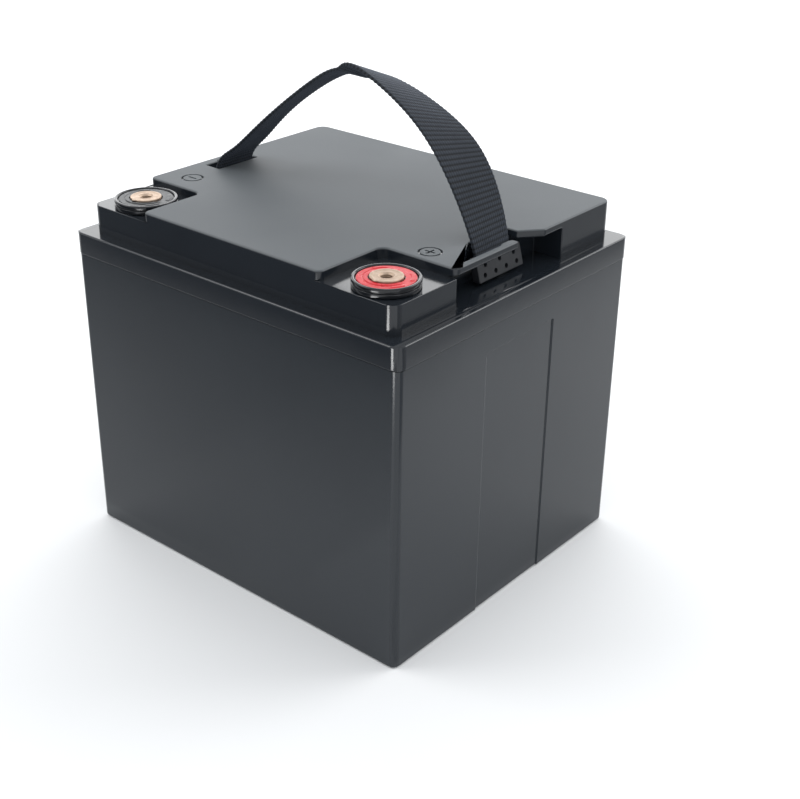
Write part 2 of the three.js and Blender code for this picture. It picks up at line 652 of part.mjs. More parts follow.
// Five thin sense leads from the board's socket to the stack's joints. Each has its own lane
// round the board, given as [joint number, x of the joint, pin, side], the pins counted along Y.
const socketX = 46 + GAP;
const socketZ = BOARD_Z + 4;
const leads = [
  [1, cellX[0], 4, 1], [2, -CELL_PITCH, 0, -1], [3, 0, 3, 1],
  [4, CELL_PITCH, 1, -1], [5, cellX[3], 2, 1],
];
for (const [number, x, pin, side] of leads) {
  const lane = side > 0 ? 4 - pin : pin;
  const startY = (pin - 2) * 2.6;
  const laneX = 61.2 + lane * 2.4;
  const laneY = side * (37.2 + lane * 2.3);
  const endY = side * (number === 1 || number === 5 ? 42.2 : 40);
  const points = [
    [socketX, startY, socketZ], [54, startY, socketZ], [laneX - 1, startY + side * 3, 151.6],
    [laneX, side * 22, 145.8], [laneX, laneY - side * 5, 144.6], [laneX - 1.5, laneY - side * 1.5, 144.5],
    [laneX - 5, laneY, 144.4], [x + 24, laneY, 144.3], [x + 7, laneY, 144.2],
    [x + 1.5, (laneY + endY) / 2, 142.6], [x, endY, POST_TOP + GAP + LEAD_RADIUS],
  ];
  add(`sense_lead_${number}`, tube(points, LEAD_RADIUS, 6, 22), 'white_insulation');
}

export default pack;
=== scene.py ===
"""Looks of the battery pack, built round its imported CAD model. Metres, +Z up, the CAD's frame.

The lengths of fine shapes are written in millimetres and multiplied by MM where they are used.
"""

import math

import bmesh
import bpy
import numpy as np
from mathutils import Matrix, Vector


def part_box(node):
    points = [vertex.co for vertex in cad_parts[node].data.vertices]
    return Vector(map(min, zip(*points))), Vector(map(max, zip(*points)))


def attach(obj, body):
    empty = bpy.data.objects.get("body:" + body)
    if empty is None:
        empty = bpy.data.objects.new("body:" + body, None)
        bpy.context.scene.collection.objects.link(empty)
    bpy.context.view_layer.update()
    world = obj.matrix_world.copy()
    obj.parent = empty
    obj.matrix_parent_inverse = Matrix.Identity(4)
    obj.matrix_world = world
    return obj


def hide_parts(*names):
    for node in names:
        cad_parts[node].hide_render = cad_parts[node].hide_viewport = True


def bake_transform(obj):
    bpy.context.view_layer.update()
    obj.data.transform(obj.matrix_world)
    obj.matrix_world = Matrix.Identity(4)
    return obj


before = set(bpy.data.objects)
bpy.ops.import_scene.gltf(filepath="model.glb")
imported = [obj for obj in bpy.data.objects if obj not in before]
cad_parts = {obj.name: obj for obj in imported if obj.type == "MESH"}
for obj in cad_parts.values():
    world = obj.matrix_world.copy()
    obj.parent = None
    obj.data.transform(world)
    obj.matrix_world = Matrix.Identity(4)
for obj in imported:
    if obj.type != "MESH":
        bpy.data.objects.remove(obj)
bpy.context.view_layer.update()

MM = 0.001
SCENE = bpy.context.scene
LID_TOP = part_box("lid")[1].z


def middle(node):
    low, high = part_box(node)
    return (low + high) / 2


# ---------------------------------------------------------------- camera

# What the camera looks at, in millimetres, and where it stands from there, in degrees and metres.
CAMERA_AIM = (29.8, 0, 76.45)
CAMERA_AZIMUTH, CAMERA_ELEVATION, CAMERA_ROLL = 39.62, 27.2, 0.785
CAMERA_DISTANCE = 0.6474
CAMERA_LENS, SENSOR_WIDTH = 61.48, 36
CLIP_START, CLIP_END = 0.02, 20


def direction(azimuth, elevation):
    """Unit vector towards a viewer at that azimuth (0 in front, 90 to the right) and elevation."""
    a, e = math.radians(azimuth), math.radians(elevation)
    return Vector((math.sin(a) * math.cos(e), -math.cos(a) * math.cos(e), math.sin(e)))


def make_camera():
    target = Vector(CAMERA_AIM) * MM
    back = direction(CAMERA_AZIMUTH, CAMERA_ELEVATION)
    roll = math.radians(CAMERA_ROLL)
    right = (-back).cross(Vector((0, 0, 1))).normalized()
    up = right.cross(-back)
    tilted_right = right * math.cos(roll) + up * math.sin(roll)
    tilted_up = up * math.cos(roll) - right * math.sin(roll)
    camera = bpy.data.objects.new("camera", bpy.data.cameras.new("camera"))
    SCENE.collection.objects.link(camera)
    axes = Matrix((tilted_right, tilted_up, back)).transposed()
    camera.matrix_world = Matrix.Translation(target + back * CAMERA_DISTANCE) @ axes.to_4x4()
    camera.data.sensor_width = SENSOR_WIDTH
    camera.data.lens = CAMERA_LENS
    camera.data.clip_start = CLIP_START
    camera.data.clip_end = CLIP_END
    SCENE.camera = camera


# ---------------------------------------------------------------- node wiring

class Finish:
    """One material, with short calls for its nodes."""

    def __init__(self, name, **sockets):
        self.material = bpy.data.materials.new(name)
        self.material.use_nodes = True
        self.tree = self.material.node_tree
        self.shader = self.tree.nodes["Principled BSDF"]
        self.place = self.node("ShaderNodeTexCoord").outputs["Object"]
        for socket, value in sockets.items():
            self.shader.inputs[socket.replace("_", " ")].default_value = value

    def node(self, kind, inputs=None, **settings):
        made = self.tree.nodes.new(kind)
        for key, value in settings.items():
            setattr(made, key, value)
        for key, value in (inputs or {}).items():
            if isinstance(value, bpy.types.NodeSocket):
                self.tree.links.new(value, made.inputs[key])
            else:
                made.inputs[key].default_value = value
        return made

    def use(self, socket, output):
        self.tree.links.new(output, self.shader.inputs[socket])

    def axis(self, name, place=None):
        return self.node("ShaderNodeSeparateXYZ", {"Vector": place or self.place}).outputs[name]

    def noise(self, scale, detail=3.0, roughness=0.55, place=None, distortion=0.0):
        """Noise from 0 to 1 with features about 1 / scale metres across."""
        inputs = {"Vector": place or self.place, "Scale": scale, "Detail": detail,
                  "Roughness": roughness, "Distortion": distortion}
        return self.node("ShaderNodeTexNoise", inputs).outputs["Fac"]

    def stretched(self, x, y, z, place=None):
        """The place with each axis scaled."""
        inputs = {"Vector": place or self.place, "Scale": (x, y, z)}
        return self.node("ShaderNodeMapping", inputs).outputs["Vector"]

    def ranged(self, value, low, high, to_low=0.0, to_high=1.0):
        """value's range from low to high, remapped and clamped."""
        inputs = {"Value": value, "From Min": low, "From Max": high,
                  "To Min": to_low, "To Max": to_high}
        return self.node("ShaderNodeMapRange", inputs).outputs["Result"]

    def maths(self, operation, a, b=0.0):
        return self.node("ShaderNodeMath", {0: a, 1: b}, operation=operation).outputs[0]

    def wave(self, value, pitch):
        """A sine of the value, in metres, with that pitch."""
        return self.maths("SINE", self.maths("MULTIPLY", value, 2 * math.pi / pitch))

    def mix(self, factor, a, b):
        """Colour a at factor 0, and b at 1."""
        inputs = {0: factor, 6: opaque(a), 7: opaque(b)}
        return self.node("ShaderNodeMix", inputs, data_type="RGBA").outputs[2]

    def bump(self, height, strength, distance, under=None):
        """Height, in units of distance metres, as a bump over an earlier one."""
        inputs = {"Height": height, "Strength": strength, "Distance": distance}
        if under is not None:
            inputs["Normal"] = under
        return self.node("ShaderNodeBump", inputs).outputs["Normal"]


def opaque(value):
    """An RGB triple with an alpha of 1. Anything else is passed on."""
    return (*value, 1) if isinstance(value, tuple) else value


# ---------------------------------------------------------------- finishes

# In millimetres: the near and top edges of the case's side panels and the plane they lie in, and
# the pitches of yarn, glass cloth and webbing.
PANEL_NEAR_EDGE, PANEL_TOP, PANEL_SIDE = -24.5, 130, 96
STRAND_PITCH = 0.25
CLOTH_PITCH = 1.2
RIB_PITCH, BEAD_PITCH = 2.3, 1.25


def floor_finish():
    f = Finish("pale_floor", Roughness=0.9, Specular_IOR_Level=0.2)
    f.use("Base Color", f.mix(f.noise(3), (0.86, 0.865, 0.87), (0.88, 0.885, 0.89)))
    return f.material


def flag_finish(name, *ramps):
    """Black gauze that thickens along each ramp of (axis, start, end, alpha at the end)."""
    f = Finish(name, Roughness=1.0, Specular_IOR_Level=0.0, Base_Color=(0, 0, 0, 1))
    alpha = 0.0
    for axis, start, end, amount in ramps:
        alpha = f.maths("ADD", f.ranged(f.axis(axis), start, end, 0, amount), alpha)
    f.use("Alpha", alpha)
    return f.material


def case_finish():
    """Polished ABS: faint colour drift, satin patches, orange peel and a fine grain. A paler line
    is painted down the near edge of each side panel, fading below its top: a painted highlight."""
    f = Finish("case_plastic", IOR=1.5)
    drift = f.ranged(f.noise(9, 4), 0.35, 0.65)
    plain = f.mix(drift, (0.0115, 0.0155, 0.0205), (0.0145, 0.0190, 0.0245))
    # Painted highlight: a paler line down the near edge of each side panel, fading out below the
    # panel's top.
    from_edge = f.maths("ABSOLUTE", f.maths("ADD", f.axis("Y"), -PANEL_NEAR_EDGE * MM))
    line = f.ranged(from_edge, 0.7 * MM, 0.2 * MM)
    below_top = f.ranged(f.axis("Z"), (PANEL_TOP - 0.5) * MM, (PANEL_TOP - 3) * MM, 0, 0.6)
    across = f.maths("ABSOLUTE", f.axis("X"))
    on_side = f.ranged(across, (PANEL_SIDE - 0.2) * MM, (PANEL_SIDE + 0.2) * MM)
    painted_edge_highlight = f.maths("MULTIPLY", line, f.maths("MULTIPLY", below_top, on_side))
    f.use("Base Color", f.mix(painted_edge_highlight, plain, (0.10, 0.108, 0.115)))
    f.use("Roughness", f.ranged(f.noise(22, 4), 0.3, 0.7, 0.15, 0.22))
    peel = f.bump(f.noise(120, 2), 0.2, 0.0001)
    f.use("Normal", f.bump(f.noise(2600, 2), 0.25, 0.00004, peel))
    return f.material


def lid_finish():
    """Glossy ABS walls, and a spark-textured top with dull smudges in its roughness.
    The top's colour is painted far paler than the walls: a painted reflection of the light above.
    """
    f = Finish("lid_plastic", IOR=1.5)
    drift = f.ranged(f.noise(9, 4), 0.35, 0.65)
    on_top = f.ranged(f.axis("Z"), LID_TOP - 0.7 * MM, LID_TOP - 0.1 * MM)
    walls = f.mix(drift, (0.0120, 0.0150, 0.0195), (0.0145, 0.0180, 0.0230))
    # The top is painted far paler than the walls of the same plastic: a painted reflection of the
    # soft light above.
    face = f.mix(drift, (0.083, 0.0930, 0.1010), (0.091, 0.1015, 0.1095))
    f.use("Base Color", f.mix(on_top, walls, face))
    smudges = f.ranged(f.noise(24, 3, 0.5, f.stretched(1, 0.6, 1)), 0.55, 0.75, 0, 0.04)
    top_gloss = f.maths("SUBTRACT", f.ranged(f.noise(14, 3), 0.3, 0.7, 0.64, 0.68), smudges)
    wall_gloss = f.ranged(f.noise(22, 4), 0.3, 0.7, 0.1, 0.16)
    haze = f.maths("MULTIPLY", on_top, f.maths("SUBTRACT", top_gloss, wall_gloss))
    f.use("Roughness", f.maths("ADD", wall_gloss, haze))
    peel = f.bump(f.noise(120, 2), 0.15, 0.0001)
    f.use("Normal", f.bump(f.noise(2400, 3), f.ranged(on_top, 0, 1, 0.15, 0.55), 0.00005, peel))
    return f.material


def collar_finish():
    """Gloss black moulding with faint flow streaks round it."""
    f = Finish("collar_plastic", IOR=1.5)
    streaks = f.noise(300, 3, 0.5, f.stretched(1, 1, 6))
    f.use("Base Color", f.mix(streaks, (0.0035, 0.0045, 0.0065), (0.007, 0.0085, 0.0115)))
    f.use("Roughness", f.ranged(f.noise(180, 3), 0.3, 0.7, 0.10, 0.2))
    f.use("Normal", f.bump(f.noise(1800, 2), 0.2, 0.00003))
    return f.material


def plate_finish(name, deep, bright):
    """A coloured gloss moulding that is a little duller where hands have touched it."""
    f = Finish(name, IOR=1.5, Specular_IOR_Level=0.2)
    f.use("Base Color", f.mix(f.ranged(f.noise(260, 4), 0.3, 0.7), deep, bright))
    f.use("Roughness", f.ranged(f.noise(420, 3), 0.3, 0.7, 0.24, 0.4))
    f.use("Normal", f.bump(f.noise(900, 3), 0.25, 0.00005))
    return f.material


def brass_finish():
    """Cast brass with a dull mottle and fine pits."""
    f = Finish("terminal_brass", Metallic=1.0)
    mottle = f.ranged(f.noise(420, 4), 0.35, 0.7)
    f.use("Base Color", f.mix(mottle, (0.53, 0.41, 0.32), (0.41, 0.31, 0.235)))
    f.use("Roughness", f.ranged(f.noise(700, 3), 0.3, 0.7, 0.46, 0.62))
    f.use("Normal", f.bump(f.noise(1500, 3), 0.35, 0.00006))
    return f.material


def webbing_finish():
    """Woven yarn, read along UV in metres: U along the strap and V across it. The grooves between
    its ribs and beads are painted near black as painted shade.
    """
    f = Finish("strap_webbing", Roughness=0.75, IOR=1.45, Specular_IOR_Level=0.4, Sheen_Weight=0.2,
               Sheen_Roughness=0.4, Sheen_Tint=(0.55, 0.65, 0.85, 1))
    uv = f.node("ShaderNodeUVMap", uv_map="weave").outputs["UV"]
    fibres = f.noise(1500, 4, 0.6, f.stretched(0.3, 2.4, 1, uv))
    strands = f.wave(f.axis("Y", uv), STRAND_PITCH * MM)
    fade = f.noise(90, 3, 0.5, uv)
    tone = f.maths("ADD", f.maths("MULTIPLY", fibres, 0.7), f.maths("MULTIPLY", fade, 0.3))
    yarn = f.mix(f.ranged(tone, 0.3, 0.7), (0.015, 0.0195, 0.028), (0.034, 0.041, 0.054))
    # Painted shade: the grooves between the ribs and beads are painted near black, and the crests
    # take the yarn's colour.
    rib = f.maths("ABSOLUTE", f.wave(f.axis("X", uv), 2 * RIB_PITCH * MM))
    bead = f.wave(f.maths("ADD", f.axis("Y", uv), BEAD_PITCH * MM / 4), BEAD_PITCH * MM)
    raised = f.maths("ADD", rib, f.maths("MULTIPLY", bead, 0.2))
    f.use("Base Color", f.mix(f.ranged(raised, 0.1, 1.05), (0.002, 0.003, 0.004), yarn))
    f.use("Normal", f.bump(f.maths("ADD", fibres, f.maths("MULTIPLY", strands, 0.3)), 0.5, 0.0001))
    return f.material


def tab_finish():
    """Satin moulded plastic with a coarser grain than the lid's."""
    f = Finish("tab_plastic", IOR=1.5)
    f.use("Base Color", f.mix(f.noise(160, 4), (0.010, 0.0115, 0.0145), (0.015, 0.0175, 0.0215)))
    f.use("Roughness", f.ranged(f.noise(300, 3), 0.3, 0.7, 0.42, 0.56))
    f.use("Normal", f.bump(f.noise(1400, 3), 0.4, 0.00006))
    return f.material


def rubbery_finish(name, dark, light, rough=0.55):
    """Soft insulation or sealant: slightly uneven, with a dusty bloom."""
    f = Finish(name, IOR=1.45)
    bloom = f.ranged(f.noise(240, 5, 0.65), 0.35, 0.75)
    f.use("Base Color", f.mix(bloom, dark, light))
    f.use("Roughness", f.ranged(bloom, 0, 1, rough - 0.1, rough + 0.1))
    f.use("Normal", f.bump(f.noise(600, 3), 0.35, 0.0001))
    return f.material


def plated_finish(name, bright, dull, rough, brush):
    """Plated or rolled metal. brush stretches the fine scratches along each axis."""
    f = Finish(name, Metallic=1.0)
    tarnish = f.ranged(f.noise(130, 5, 0.6), 0.4, 0.75)
    f.use("Base Color", f.mix(tarnish, bright, dull))
    scratches = f.noise(900, 3, 0.6, f.stretched(*brush))
    f.use("Roughness", f.ranged(scratches, 0.3, 0.7, rough - 0.08, rough + 0.1))
    f.use("Normal", f.bump(scratches, 0.3, 0.00005))
    return f.material


def film_finish():
    """Blue insulating film drawn over a can: long faint wrinkles under a clear gloss."""
    f = Finish("cell_case", IOR=1.5, Coat_Weight=0.4, Coat_Roughness=0.1)
    drift = f.ranged(f.noise(40, 4), 0.3, 0.7)
    f.use("Base Color", f.mix(drift, (0.02, 0.085, 0.27), (0.03, 0.12, 0.35)))
    wrinkles = f.noise(70, 3, 0.5, f.stretched(1, 1, 0.15), 0.8)
    f.use("Roughness", f.ranged(wrinkles, 0.3, 0.7, 0.25, 0.42))
    f.use("Normal", f.bump(wrinkles, 0.4, 0.0003))
    return f.material


def epoxy_sheet_finish():
    """Glass cloth seen through green epoxy, as a fine crossed weave."""
    f = Finish("epoxy_sheet", IOR=1.5)
    yarns = [f.wave(f.axis(name), CLOTH_PITCH * MM) for name in "XYZ"]
    weave = f.maths("ADD", f.maths("ADD", yarns[0], yarns[1]), yarns[2])
    f.use("Base Color", f.mix(f.ranged(weave, -1.5, 1.5), (0.13, 0.24, 0.09), (0.19, 0.31, 0.13)))
    f.use("Roughness", f.ranged(f.noise(200, 3), 0.3, 0.7, 0.45, 0.65))
    f.use("Normal", f.bump(weave, 0.3, 0.00004))
    return f.material


def foam_finish():
    """Closed-cell foam: small round cells with thin walls."""
    f = Finish("foam", Roughness=0.95, Specular_IOR_Level=0.2)
    cells = f.node("ShaderNodeTexVoronoi", {"Vector": f.place, "Scale": 700.0}).outputs["Distance"]
    walls = f.ranged(cells, 0.1, 0.7)
    f.use("Base Color", f.mix(walls, (0.025, 0.025, 0.026), (0.06, 0.06, 0.062)))
    f.use("Normal", f.bump(cells, 0.8, 0.0004))
    return f.material


def board_finish():
    """Green solder mask over copper tracks, which show as lighter raised lines."""
    f = Finish("circuit_board", IOR=1.5, Coat_Weight=0.3, Coat_Roughness=0.15)
    cells = f.node("ShaderNodeTexVoronoi", {"Vector": f.place, "Scale": 260.0},
                   distance="MANHATTAN", feature="F2").outputs["Distance"]
    tracks = f.ranged(f.maths("SINE", f.maths("MULTIPLY", cells, 14.0)), 0.1, 0.4)
    f.use("Base Color", f.mix(tracks, (0.008, 0.085, 0.035), (0.02, 0.15, 0.06)))
    f.use("Roughness", f.ranged(f.noise(150, 3), 0.3, 0.7, 0.28, 0.42))
    f.use("Normal", f.bump(tracks, 0.5, 0.00004))
    return f.material


# ---------------------------------------------------------------- studio

# Metres. The flags lie on the floor beyond these edges of the pack, out to FLAG_REACH.
FLOOR_REACH, FLAG_REACH = 6, 2
FRONT_EDGE, SIDE_EDGE = -0.09, 0.099
FLOOR_GAP, FLAG_HEIGHT = 0.4 * MM, 0.5 * MM
# Each softbox's place from the middle of the lid's top, its width and height, and its radiance.
SOFTBOXES = {
    "rear_softbox": ((-0.9, 1.3, 0.55), 3.4, 1.4, 1.8),
    "side_softbox": ((0.9, 1.4, 1.15), 1.0, 0.8, 4.2),
    "front_softbox": ((-0.75, -0.6, 0.95), 0.7, 0.5, 4.0),
}
STRIP_PLACE = (0.085, -0.41, 2 * MM)
STRIP_WIDTH, STRIP_HEIGHT, STRIP_RADIANCE = 0.14, 0.1, 12
SKY_COLOUR = (0.96, 0.98, 1, 1)


def softbox(name, position, aim, width, height, radiance):
    """A rectangular light of even radiance, facing aim."""
    data = bpy.data.lights.new(name, "AREA")
    data.shape = "RECTANGLE"
    data.size, data.size_y = width, height
    data.energy = radiance * math.pi * width * height
    light = bpy.data.objects.new(name, data)
    SCENE.collection.objects.link(light)
    turn = (Vector(aim) - Vector(position)).to_track_quat("-Z", "Y").to_matrix()
    light.matrix_world = Matrix.Translation(position) @ turn.to_4x4()
    light.visible_camera = False
    return light


def staged_plane(name, x0, x1, y0, y1, z, finish):
    mesh = bpy.data.meshes.new(name)
    mesh.from_pydata([(x0, y0, z), (x1, y0, z), (x1, y1, z), (x0, y1, z)], [], [(0, 1, 2, 3)])
    mesh.materials.append(finish)
    made = bpy.data.objects.new(name, mesh)
    SCENE.collection.objects.link(made)
    return made


def make_sky():
    world = bpy.data.worlds.new("studio")
    SCENE.world = world
    world.use_nodes = True
    backdrop = world.node_tree.nodes["Background"]
    backdrop.inputs["Color"].default_value = SKY_COLOUR
    backdrop.inputs["Strength"].default_value = 1.0
    SCENE.view_settings.view_transform = "Standard"


def make_flags():
    """Gauze on the floor that only the pack's reflections see: its faces mirror less up high."""
    front = flag_finish("front_gauze", ("Y", FRONT_EDGE, -0.26, 0.42), ("Y", -0.29, -0.33, 0.33),
                        ("X", 0.0, -0.12, 0.2))
    side = flag_finish("side_gauze", ("X", SIDE_EDGE, 0.1, 0.16), ("X", 0.274, 0.302, 0.5))
    flags = [
        staged_plane("front_flag", -FLAG_REACH, 0.02, -FLAG_REACH, FRONT_EDGE, FLAG_HEIGHT, front),
        staged_plane("side_flag", SIDE_EDGE, FLAG_REACH, -0.12, FLAG_REACH, FLAG_HEIGHT, side),
    ]
    for flag in flags:
        flag.visible_camera = False
        flag.visible_diffuse = False
        flag.visible_shadow = False


def make_lights():
    top = Vector((0, 0, LID_TOP))
    for name, (offset, width, height, radiance) in SOFTBOXES.items():
        softbox(name, top + Vector(offset), top, width, height, radiance)
    # Only the upright corners of the block and its wells turn towards this one.
    spot = Vector(STRIP_PLACE)
    strip = softbox("corner_strip", spot, spot + Vector((0, 0, 1)), STRIP_WIDTH, STRIP_HEIGHT,
                    STRIP_RADIANCE)
    strip.visible_diffuse = False


def make_studio():
    make_sky()
    staged_plane("floor", -FLOOR_REACH, FLOOR_REACH, -FLOOR_REACH, FLOOR_REACH, -FLOOR_GAP,
                 floor_finish())
    make_flags()
    make_lights()


# ---------------------------------------------------------------- pieces

# Points closer than WELD, in millimetres, are one. Angles between faces are in degrees: below
# FLAT_ANGLE they are parts of one face, and above SHARP_ANGLE their edge is rounded.
WELD = 0.002
FLAT_ANGLE, SHARP_ANGLE = 1, 24


def shown(name, mesh, finish, replaces, body="root"):
    piece = bpy.data.objects.new(name, mesh)
    SCENE.collection.objects.link(piece)
    mesh.materials.append(finish)
    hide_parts(*replaces)
    if body:
        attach(piece, body)
    return piece


def whole_faces(node, cuts=()):
    """A node's mesh as a bmesh, with its flat facets merged into whole faces.

    The faces are kept apart along each cut, a plane of constant X in millimetres. A cut across
    each hole leaves no face with a hole in it, which the rounding needs."""
    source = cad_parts[node].data
    bm = bmesh.new()
    verts = [bm.verts.new(v.co) for v in source.vertices]
    for polygon in source.polygons:
        bm.faces.new([verts[i] for i in polygon.vertices])
    bmesh.ops.remove_doubles(bm, verts=bm.verts, dist=WELD * MM)
    for x in cuts:
        cut = bmesh.ops.bisect_plane(bm, geom=bm.verts[:] + bm.edges[:] + bm.faces[:],
                                     plane_co=(x * MM, 0, 0), plane_no=(1, 0, 0))
        for item in cut["geom_cut"]:
            if isinstance(item, bmesh.types.BMEdge):
                item.seam = True
    bmesh.ops.dissolve_limit(bm, angle_limit=math.radians(FLAT_ANGLE), verts=bm.verts,
                             edges=bm.edges, delimit={"SEAM"})
    return bm


def rounded_piece(node, name, finish, radius_of, body="root", segments=3, cuts=()):
    """Stands for a node, with each sharp edge rounded to radius_of(edge), in millimetres.
    An edge of radius 0 stays crisp."""
    bm = whole_faces(node, cuts)
    weight = bm.edges.layers.float.new("bevel_weight_edge")
    sharp = math.radians(SHARP_ANGLE)
    radii = {e: radius_of(e) for e in bm.edges if e.is_manifold and e.calc_face_angle(0) > sharp}
    largest = max(radii.values())
    for edge, radius in radii.items():
        edge[weight] = radius / largest
        edge.smooth = radius > 0
    for face in bm.faces:
        face.smooth = True
    mesh = bpy.data.meshes.new(name)
    bm.to_mesh(mesh)
    bm.free()
    piece = shown(name, mesh, finish, [node], body)
    bevel = piece.modifiers.new("rounded_edges", "BEVEL")
    bevel.limit_method = "WEIGHT"
    bevel.width = largest * MM
    bevel.segments = segments
    bevel.use_clamp_overlap = False
    bevel.miter_outer = "MITER_ARC"
    shading = piece.modifiers.new("flat_faces_stay_flat", "WEIGHTED_NORMAL")
    shading.keep_sharp = True
    return piece


# ---------------------------------------------------------------- case and lid

# The lid's levels, its polarity marks and the planes it is cut along, in millimetres.
SKIRT_BOTTOM, LEDGE, PLATE_UNDERSIDE, TOP = 142.2, 152.6, 166.5, 170
POLARITY_MARKS = (Vector((69.8, -30.2)), Vector((-74.4, -29.6)))
LID_CUTS = (-73.3, -69, 70.4, 73)
# Regions of the case and lid, just inside their faces. X is taken either side of the middle.
CASE_INSET_X, CASE_INSET_Y = 0.7, 0.1
TERMINAL_REACH, MARK_REACH = 8, 6
RECESS_X, RECESS_FRONT, RECESS_REAR = 75.1, -38, 37.4
BLOCK_X, BLOCK_Y = 89.8, 76.8
SKIRT_X, SKIRT_Y = 97.2, 82.7
# Radii of their edges.
BASE_ROUND, CASE_ROUND = 0.9, 0.4
TOP_ROUND, SLOT_ROUND = 1, 0.7
SKIRT_ROUND, RIM_ROUND = 0.5, 0.9
BAR_OUTER_ROUND, BAR_INNER_ROUND = 1.1, 0.6
RECESS_ROUND, BLOCK_ROUND = 0.5, 0.3


def edge_middle(edge):
    a, b = (v.co / MM for v in edge.verts)
    return (a + b) / 2


def near(value, target):
    return abs(value - target) < 0.05


def case_radius(edge):
    mid = edge_middle(edge)
    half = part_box("case")[1] / MM
    outer = abs(mid.x) > half.x - CASE_INSET_X or abs(mid.y) > half.y - CASE_INSET_Y
    if near(mid.z, 0):
        return BASE_ROUND
    return CASE_ROUND if outer and mid.z < SKIRT_BOTTOM - 0.4 else 0


def stays_crisp(mid):
    """The edges of the terminals' holes and of the engraved marks."""
    for side in ("positive", "negative"):
        axis = middle(side + "_polarity_plate") / MM
        if (mid.xy - axis.xy).length < TERMINAL_REACH:
            return True
    return any((mid.xy - mark).length < MARK_REACH for mark in POLARITY_MARKS)


def lid_radius(edge):
    mid = edge_middle(edge)
    if stays_crisp(mid):
        return 0
    x, y, z = abs(mid.x), mid.y, mid.z
    in_recess = x > RECESS_X and RECESS_FRONT < y < RECESS_REAR and z > LEDGE - 0.1
    outside_block = x > BLOCK_X or abs(y) > BLOCK_Y
    on_skirt = x > SKIRT_X or abs(y) > SKIRT_Y
    if z > TOP - 0.05:
        return SLOT_ROUND if in_recess and x < BLOCK_X else TOP_ROUND
    if near(z, SKIRT_BOTTOM):
        return SKIRT_ROUND if on_skirt else 0
    if near(z, LEDGE):
        return RIM_ROUND if on_skirt else 0
    if near(z, PLATE_UNDERSIDE):
        return BAR_OUTER_ROUND if outside_block else BAR_INNER_ROUND
    if in_recess:
        return RECESS_ROUND
    return BLOCK_ROUND if outside_block and z < PLATE_UNDERSIDE - 0.5 else 0


# ---------------------------------------------------------------- terminals

FILLET_STEPS = 4


def filleted(corners):
    """A closed outline of (radius, height, fillet) corners, with each corner rounded."""
    outline = []
    for i, (r, z, fillet) in enumerate(corners):
        here = Vector((r, z))
        before = Vector(corners[i - 1][:2]) - here
        after = Vector(corners[(i + 1) % len(corners)][:2]) - here
        start = here + before.normalized() * fillet
        end = here + after.normalized() * fillet
        steps = FILLET_STEPS if fillet else 0
        for step in range(steps + 1):
            t = step / max(steps, 1)
            outline.append(start * (1 - t) ** 2 + here * 2 * t * (1 - t) + end * t * t)
    return outline


def divided(outline, longest):
    """The same closed outline with no step longer than that."""
    points = []
    for i, here in enumerate(outline):
        after = outline[(i + 1) % len(outline)]
        steps = max(1, math.ceil((after - here).length / longest))
        points += [here.lerp(after, step / steps) for step in range(steps)]
    return points


def still(r, z, angle):
    return r, z


def turned_piece(node, name, outline, finish, axis, warp=still, sides=96):
    """An outline turned about the upright axis, in millimetres above the node's lowest point."""
    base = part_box(node)[0].z
    verts = []
    for side in range(sides):
        angle = 2 * math.pi * side / sides
        for point in outline:
            r, z = warp(point[0], point[1], angle)
            spot = Vector((r * math.cos(angle), r * math.sin(angle), z)) * MM
            verts.append(spot + Vector((axis.x, axis.y, base)))
    rows = len(outline)
    faces = []
    for side in range(sides):
        here, there = side * rows, (side + 1) % sides * rows
        for row in range(rows):
            after = (row + 1) % rows
            faces.append((there + row, there + after, here + after, here + row))
    mesh = bpy.data.meshes.new(name)
    mesh.from_pydata(verts, [], faces)
    bm = bmesh.new()
    bm.from_mesh(mesh)
    bmesh.ops.recalc_face_normals(bm, faces=bm.faces)
    bm.to_mesh(mesh)
    bm.free()
    mesh.shade_smooth()
    return shown(name, mesh, finish, [node])


def pulse(value, low, high, ramp):
    """1 between low and high and 0 outside, with smooth ramps."""
    rise = min(1, max(0, (value - low) / ramp + 0.5))
    fall = min(1, max(0, (high - value) / ramp + 0.5))
    return rise * rise * (3 - 2 * rise) * fall * fall * (3 - 2 * fall)


# Outlines of the turned parts, as (radius, height, fillet) corners in millimetres.
COLLAR = [
    (7.4, 0, 0), (14.2, 0, 0.2), (14.2, 1.7, 0.15), (13.6, 1.9, 0.1), (13.6, 2.3, 0.1),
    (14.2, 2.5, 0.15), (14.2, 4, 0.6), (12.85, 4, 0.6), (12.6, 2.7, 0.15), (7.4, 2.7, 0),
]
PLATE = [(7.5, 0, 0), (12.2, 0, 0.1), (12.2, 0.55, 0.2), (7.5, 0.55, 0.15)]
INSERT = [
    (6, 0, 0.3), (6, 16.4, 0), (7, 16.4, 0), (7, 20.1, 0.35), (5.9, 20.1, 0.1), (5.6, 19.95, 0.1),
    (4, 19.95, 0.1), (3.7, 20.05, 0.1), (3.3, 20.05, 0.15), (2.6, 19.4, 0.1), (2.6, 0, 0.3),
]


# The plate's relief: spans of radius, and of angle in degrees.
RING_SPAN, RING_TURN = (7.0, 9.3), (172, 352)
GROOVE_SPAN, GROOVE_TURN = (9.3, 9.75), (168, 356)
PAD_SPAN, PAD_TURNS = (9.9, 11.5), ((18, 62), (128, 162), (318, 350))
RELIEF, GROOVE_DEPTH = 0.22, 0.2
# The insert's thread and locating key.
THREAD_REACH, THREAD_TOP, THREAD_DEPTH = 2.7, 19.3, 0.28
KEY_TURN, KEY_SPAN, KEY_HEIGHT = (262, 278), (19.7, 21), 0.75
PLATE_STEP, INSERT_STEP = 0.16, 0.25
PLATE_SIDES = 144


